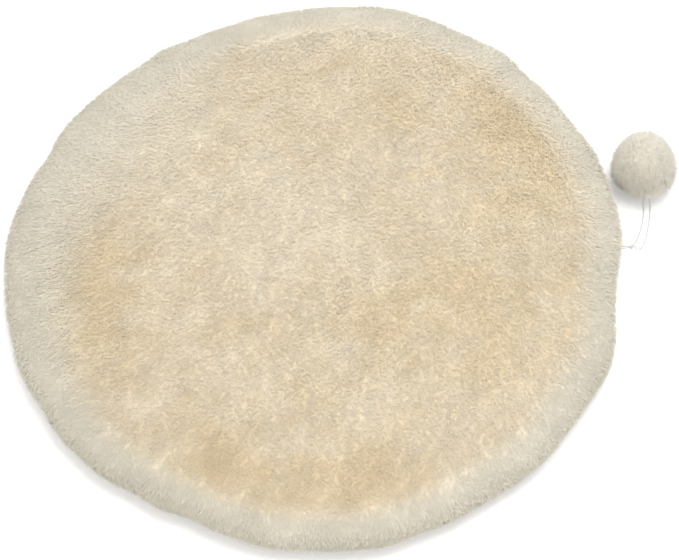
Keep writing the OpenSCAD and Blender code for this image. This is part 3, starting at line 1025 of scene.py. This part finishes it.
def make_tape(side, name):
    """Woven tape with a slight wave; past the stops its inner edge is drawn in."""
    low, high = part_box(f"zip_tape_{name}")
    cols, rows = 140, 10
    x = np.linspace(low.x, high.x, cols)
    y = np.linspace(low.y, high.y, rows)
    x, y = [a.ravel() for a in np.meshgrid(x, y)]
    inner, outer = sorted((low.y, high.y), key=abs)
    past_stops = clamp((np.abs(x) - PAST_STOPS) / (3 * MM))
    y = y - past_stops * 0.9 * inner * (outer - y) / (outer - inner)
    z = low.z + 0.05 * MM * (1 + 0.5 * waves(x, y, 25 * MM, 71 + side))
    mesh = mesh_from(f"tape_{name}", np.stack([x, y, z], -1), grid_faces(rows, cols, flip=True))
    tape = add_object(f"tape_{name}", mesh, TAPE, "cushion")
    thicken(tape, high.z - low.z)
    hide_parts(f"zip_tape_{name}")


def make_coil(name):
    """Nylon monofilament wound into a flattened coil, with the thread that sews it down."""
    low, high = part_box(f"zip_coil_{name}")
    middle = (low + high) / 2
    turns = (high.x - low.x) / COIL_PITCH
    t = np.arange(0, turns, 1 / COIL_STEPS)
    wide = (high.y - low.y - COIL_WIRE) / 2
    tall = (high.z - low.z - COIL_WIRE) / 2
    turn = t * 2 * math.pi
    path = np.stack([low.x + t * COIL_PITCH, middle.y + wide * np.cos(turn), middle.z + tall * np.sin(turn)], -1)
    verts, faces = sweep(path, COIL_WIRE / 2, 5)
    coil = add_piece(f"coil_{name}", verts, faces, NYLON, "cushion", "zip_coil")
    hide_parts(f"zip_coil_{name}")
    x = np.arange(low.x, high.x - COIL_PITCH, COIL_PITCH)
    y, z = np.full(len(x), middle.y), np.full(len(x), low.z - 0.05 * MM)
    starts = np.stack([x, y - 0.25 * MM, z], -1)
    ends = np.stack([x + COIL_PITCH, y + 0.25 * MM, z], -1)
    verts, faces = capsules(starts, ends, COIL_THREAD_R, 5)
    add_piece(f"coil_thread_{name}", verts, faces, THREAD, "cushion", "thread")


def rounded(half_x, half_y, corner, centre=(0, 0), steps=6):
    """Corner points of a rounded rectangle."""
    points = []
    for k, (sx, sy) in enumerate(((1, 1), (-1, 1), (-1, -1), (1, -1))):
        for t in np.linspace(0, math.pi / 2, steps):
            a = t + k * math.pi / 2
            points.append((centre[0] + sx * (half_x - corner) + corner * math.cos(a),
                           centre[1] + sy * (half_y - corner) + corner * math.sin(a)))
    return points


def plate(outlines, low, high, bevel=0.12 * MM):
    """(verts, faces) of a flat plate between two levels with softened edges; later outlines are holes."""
    curve = bpy.data.curves.new("plate", "CURVE")
    curve.dimensions = "2D"
    curve.fill_mode = "BOTH"
    curve.extrude = (high - low) / 2 - bevel
    curve.bevel_depth = bevel
    curve.bevel_resolution = 2
    curve.offset = -bevel
    for outline in outlines:
        spline = curve.splines.new("POLY")
        spline.points.add(len(outline) - 1)
        for point, (x, y) in zip(spline.points, outline):
            point.co = (x, y, 0, 1)
        spline.use_cyclic_u = True
    ob = linked("plate", curve)
    mesh = evaluated_mesh(ob)
    verts = vertex_array(mesh) + np.array([0, 0, (low + high) / 2])
    faces = [list(p.vertices) for p in mesh.polygons]
    bpy.data.objects.remove(ob)
    return verts, faces


def make_stop(name):
    low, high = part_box(f"zip_stop_{name}")
    middle, half = (low + high) / 2, (high - low) / 2
    verts, faces = plate([rounded(half.x, half.y, 0.5 * MM, (middle.x, middle.y))], low.z, high.z, 0.25 * MM)
    ob = add_piece(f"stop_{name}", verts, faces, METAL, "cushion", "zip_metal", smooth=False)
    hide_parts(f"zip_stop_{name}")


SLIDER_NOSE = ((1, 0.45), (0.5, 1), (-0.7, 0.82), (-1, 0.62))  # one side's outline, in half lengths and half widths


def make_slider():
    """Slider body: lower plate, upper plate, web between them, and the bridge that holds the pull."""
    low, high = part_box("zip_slider")
    cx, half_x, half_y = (low.x + high.x) / 2, (high.x - low.x) / 2, high.y
    plate_t, bridge_t, web = 0.8 * MM, 0.6 * MM, 0.25 * MM
    plate_low = low.z + 1.7 * MM
    nose = [(cx + u * half_x, -v * half_y) for u, v in SLIDER_NOSE]
    mirrored = [(x, -y) for x, y in nose]
    nose = mirrored[:1] + nose + mirrored[:0:-1]
    strap = rounded(2.5 * MM, 1.2 * MM, 0.4 * MM, (cx, 0))
    parts = [plate([nose], plate_low, plate_low + plate_t), plate([nose], high.z - plate_t, high.z),
             plate([rounded(1.5 * MM, web, 0.2 * MM, (cx + 2 * MM, 0))], plate_low, high.z, 0.05 * MM),
             plate([strap], low.z, low.z + bridge_t, 0.15 * MM)]
    for end in (-1, 1):
        post = rounded(0.5 * MM, 1.2 * MM, 0.2 * MM, (cx + end * 2 * MM, 0))
        parts.append(plate([post], low.z + bridge_t / 2, plate_low + 0.2 * MM, 0.08 * MM))
    verts, faces = joined(parts)
    ob = add_piece("slider", verts, faces, METAL, "slider", "zip_metal", smooth=False)
    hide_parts("zip_slider")


def make_pull():
    """Pull tab: rounded plate with an eye round the bridge's pin, a finger hole and raised grip ribs."""
    low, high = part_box("zip_pull")
    half_t, half_y = (high.z - low.z) / 2, high.y
    pin_x, mid_z = high.x - half_t, (low.z + high.z) / 2
    end_x = low.x
    outer = rounded((pin_x - end_x) / 2 + half_t, half_y, 2.2 * MM, ((pin_x + end_x) / 2, 0), 8)
    eye = rounded(1.95 * MM, 1.6 * MM, 0.5 * MM, (pin_x - 2.4 * MM, 0))
    hole = rounded(1.5 * MM, 1.5 * MM, 1.49 * MM, (end_x + 3.6 * MM, 0), 6)
    parts = [plate([outer, eye, hole], low.z, high.z, 0.15 * MM)]
    for k in range(4):
        rib = rounded(0.35 * MM, 2.3 * MM, 0.3 * MM, (pin_x - (6.2 + 1.4 * k) * MM, 0))
        parts.append(plate([rib], low.z - 0.12 * MM, high.z + 0.12 * MM, 0.1 * MM))
    pin = np.array([(pin_x, -half_y, mid_z), (pin_x, 0, mid_z), (pin_x, half_y, mid_z)])
    parts.append(sweep(pin, half_t, 16))
    verts, faces = joined(parts)
    ob = add_piece("pull", verts, faces, METAL, "pull", "zip_metal", smooth=False)
    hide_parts("zip_pull")


for side, name in HALVES:
    make_tape(side, name)
    make_coil(name)
for name in ("left", "right"):
    make_stop(name)
make_slider()
make_pull()

# ---- tack, knot and the pompom's inside

TACK_IN = 9.5 * MM  # the tack sits this far inside the knot, down in the pile
THREAD_R = 0.3 * MM  # of the tack and of the neck's thread
KNOT_CORD_R = 0.55 * MM
NECK_R = 2.1 * MM  # of the thread's turns round the neck


def make_tack():
    """Bar tack in the seam, zigzagged over the two ends of the string."""
    low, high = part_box("tether_tack")
    knot = np.array(KNOT)
    count = 22
    y = np.linspace(low.y, high.y, count)
    zig = [(knot[0] - TACK_IN + 0.25 * MM * math.sin(k), y[k], high.z if k % 2 else low.z) for k in range(count)]
    verts, faces = sweep(smooth_path(zig, 4), THREAD_R, 6)
    ends = []
    for gap in (-0.6, 0.6):
        steps = ((-10.5, gap, 0.3), (-7, gap * 1.4, 0.3), (-3.5, gap * 1.2, 0.2), (-1.2, gap * 0.5, 0), (-0.4, 0, 0))
        path = smooth_path([knot + np.array(d) * MM for d in steps], 8)
        ends.append(sweep(path, STRING_D / 2, *two_ply(path)))
    ob = add_piece("bar_tack", verts, faces, THREAD, "cushion", "thread")
    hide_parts("tether_tack")
    add_piece("string_ends", *joined(ends), STRING, "cushion", "string")


def make_knot():
    """Overhand knot: a trefoil of string drawn tight."""
    low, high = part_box("tether_knot")
    size = (high.x - low.x) / 2 / 3.5
    t = np.linspace(0, 2 * math.pi, 90)
    curl = np.stack([np.sin(t) + 2 * np.sin(2 * t), np.cos(t) - 2 * np.cos(2 * t), -np.sin(3 * t) * 1.4], -1)
    path = np.array(KNOT) + curl * size
    verts, faces = sweep(path, KNOT_CORD_R, *two_ply(path))
    ob = add_piece("knot", verts, faces, STRING, "string_turn", "string")
    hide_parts("tether_knot")
    return ob


def make_pompom_inside():
    """Thread drawn round the neck in several turns, and the ball of fibre under the pile."""
    centre = np.array(POMPOM)
    low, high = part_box("pompom_tie")
    tie = np.array((low + high) / 2)
    axis = unit(tie - centre)
    side = unit(np.cross(axis, UP))
    over = np.cross(axis, side)
    t = np.linspace(0, 2 * math.pi * 4, 140)
    along = np.linspace(-0.6, 0.6, len(t)) * MM
    path = tie + np.outer(along, axis) + NECK_R * (np.outer(np.cos(t), side) + np.outer(np.sin(t), over))
    verts, faces = sweep(path, THREAD_R, 6)
    tie_thread = add_piece("neck_thread", verts, faces, THREAD, "pompom", "thread")
    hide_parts("pompom_tie")
    d = ball_spread(2400)
    lump = waves(d[:, 0] * 10, d[:, 1] * 10 + d[:, 2] * 7, 2.5, 81)
    reach = STUFFING_R * (0.93 + 0.04 * lump) - 3.5 * MM * np.exp(-((1 - d @ axis) / 0.05) ** 2)
    bm = bmesh.new()
    for p in centre + d * reach[:, None]:
        bm.verts.new(p)
    bmesh.ops.convex_hull(bm, input=bm.verts)
    ob = add_object("pompom_filling", mesh_of(bm, "pompom_filling"), FILL, "pompom")
    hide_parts("pompom_stuffing")
    return [tie_thread, ob]


make_tack()
on_string = [*ball_pieces, make_knot(), *make_pompom_inside()]

# ---- liner, filling and seam allowance

# Half length, half width and height that the bags leave free over the zip
CHANNEL_LONG, CHANNEL_WIDE, CHANNEL_HIGH = 176 * MM, 17 * MM, 7.2 * MM
ROLL_R = 26 * MM  # the bags' lower edge is rounded over this width


def bag(name, inset, floor, material, slot, seed):
    """Closed lumpy bag inside the cover: crowned top, rolled edge, and a dent over the zip."""
    r_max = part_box("liner_bottom")[1].x - inset
    cols, rows = 140, 40
    share = np.sin(np.linspace(0.02, 1, rows) * math.pi / 2)
    r, t = pairs(share * r_max, round_turn(cols))
    x, y = r * np.cos(t), r * np.sin(t)
    lump = waves(x, y, 40 * MM, seed)
    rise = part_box("liner_top")[1].z - inset - SEAM_Z
    top = SEAM_Z + rise * np.maximum(0, 1 - (r / r_max) ** CROWN_POWER) ** CROWN_ROUND
    top -= (1 + lump) * 0.8 * MM * (1 - share.repeat(cols))
    roll = clamp((r - r_max + ROLL_R) / ROLL_R)
    under = SEAM_Z - (SEAM_Z - floor) * np.sqrt(clamp(1 - roll ** 2))
    dent = clamp((CHANNEL_LONG - np.abs(x)) / (6 * MM)) * clamp((CHANNEL_WIDE + 5 * MM - np.abs(y)) / (5 * MM))
    under = np.maximum(under, (CHANNEL_HIGH + inset) * dent)
    verts = np.concatenate([np.stack([x, y, top], -1), np.stack([x, y, under], -1)])
    faces = grid_faces(rows, cols, wrap=True, flip=True).tolist()
    shift = rows * cols
    faces += (grid_faces(rows, cols, wrap=True) + shift).tolist()
    rim = (rows - 1) * cols
    for k in range(cols):
        n = (k + 1) % cols
        faces.append([rim + k, shift + rim + k, shift + rim + n, rim + n])
    faces += [list(range(cols)), [shift + k for k in range(cols - 1, -1, -1)]]
    ob = add_piece(name, verts, faces, material, "cushion", slot)
    return ob


ALLOWANCE_SECTION = ((0, 0.7), (0, -0.7), (6.3, -0.9), (6.7, 0), (6.3, 0.9))  # inwards and upwards, in mm
OVERLOCK_LOOPS, OVERLOCK_R = 420, 0.22 * MM


def make_allowance():
    """Both faces' seam allowances folded together inside the cover, with overlock thread over their edge."""
    low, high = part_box("seam_binding")
    mid_z = (low.z + high.z) / 2
    cols = 360
    t = round_turn(cols)
    wave = 0.3 * MM * np.sin(t * 47)
    outer = high.x - 0.5 * MM
    rings = []
    for r_in, lift in ALLOWANCE_SECTION:
        rings.append(polar(outer - r_in * MM, t, mid_z + lift * MM + wave * (r_in > 0)))
    faces = grid_faces(len(rings), cols, wrap=True, flip=True).tolist()
    last = (len(rings) - 1) * cols
    faces += [[last + k, k, (k + 1) % cols, last + (k + 1) % cols] for k in range(cols)]
    mesh = mesh_from("seam_allowance", np.concatenate(rings), faces)
    ob = add_object("seam_allowance", mesh, BASE_CLOTH, "cushion")
    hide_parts("seam_binding")
    s = np.linspace(0, 2 * math.pi, OVERLOCK_LOOPS * 8, endpoint=False)
    loop = s * OVERLOCK_LOOPS
    path = polar(outer - 6.2 * MM + 1.0 * MM * np.cos(loop), s, mid_z + 1.15 * MM * np.sin(loop) * 0.8)
    verts, faces = sweep(path, OVERLOCK_R, 4)
    add_piece("overlock", verts, faces, THREAD, "cushion", "binding")


liner = bag("liner_bag", 0, 2.6 * MM, LINER, "liner", 91)
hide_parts("liner_top", "liner_bottom")
filling = bag("fibre_filling", 1.6 * MM, 4.4 * MM, FILL, "fibre", 92)
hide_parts("fibre_fill")
make_allowance()

# ---- floor and light

FLOOR_TONE = 0.95
FLOOR_GLOW = 0.13  # a table lit faintly from below, so the shadows stay pale


def make_floor():
    bm = bmesh.new()
    bmesh.ops.create_grid(bm, x_segments=1, y_segments=1, size=4)
    mesh = mesh_of(bm, "floor")
    mesh.transform(Matrix.Translation((0, 0, -0.2 * MM)))
    look = Look("floor_paper", roughness=0.95, specular=0.1)
    look.bsdf.inputs["Emission Color"].default_value = (1, 1, 1, 1)
    look.bsdf.inputs["Emission Strength"].default_value = FLOOR_GLOW
    cloud = look.span(look.noise(0.4, 2), 0.3, 0.7)
    mesh.materials.append(look.finish(look.mix(cloud, (FLOOR_TONE,) * 3, (FLOOR_TONE + 0.015,) * 3)))
    floor = linked("floor", mesh)


def make_light(name, place, size, power):
    """Round lamp that looks at the middle of the floor."""
    data = bpy.data.lights.new(name, "AREA")
    data.shape = "DISK"
    data.size = size
    data.energy = power
    lamp = linked(name, data)
    lamp.location = place
    lamp.rotation_mode = "QUATERNION"
    lamp.rotation_quaternion = (-Vector(place)).to_track_quat("-Z", "Y")


def make_world(horizon, zenith):
    """Soft tent of light, brighter overhead than at its sides."""
    world = bpy.data.worlds.new("studio")
    world.use_nodes = True
    nodes, links = world.node_tree.nodes, world.node_tree.links
    way = nodes.new("ShaderNodeTexCoord").outputs["Generated"]
    split = nodes.new("ShaderNodeSeparateXYZ")
    links.new(way, split.inputs[0])
    strength = nodes.new("ShaderNodeMapRange")
    links.new(split.outputs["Z"], strength.inputs["Value"])
    strength.inputs["To Min"].default_value = horizon
    strength.inputs["To Max"].default_value = zenith
    links.new(strength.outputs[0], nodes["Background"].inputs["Strength"])
    nodes["Background"].inputs["Color"].default_value = (1, 1, 1, 1)
    bpy.context.scene.world = world


make_floor()
make_light("key_light", (0.4, 0.0, 2.2), 1.1, 24)
make_light("fill_light", (0.0, -1.6, 1.6), 1.4, 4.5)
make_world(0.64, 1.06)
bpy.context.scene.view_settings.view_transform = "Standard"
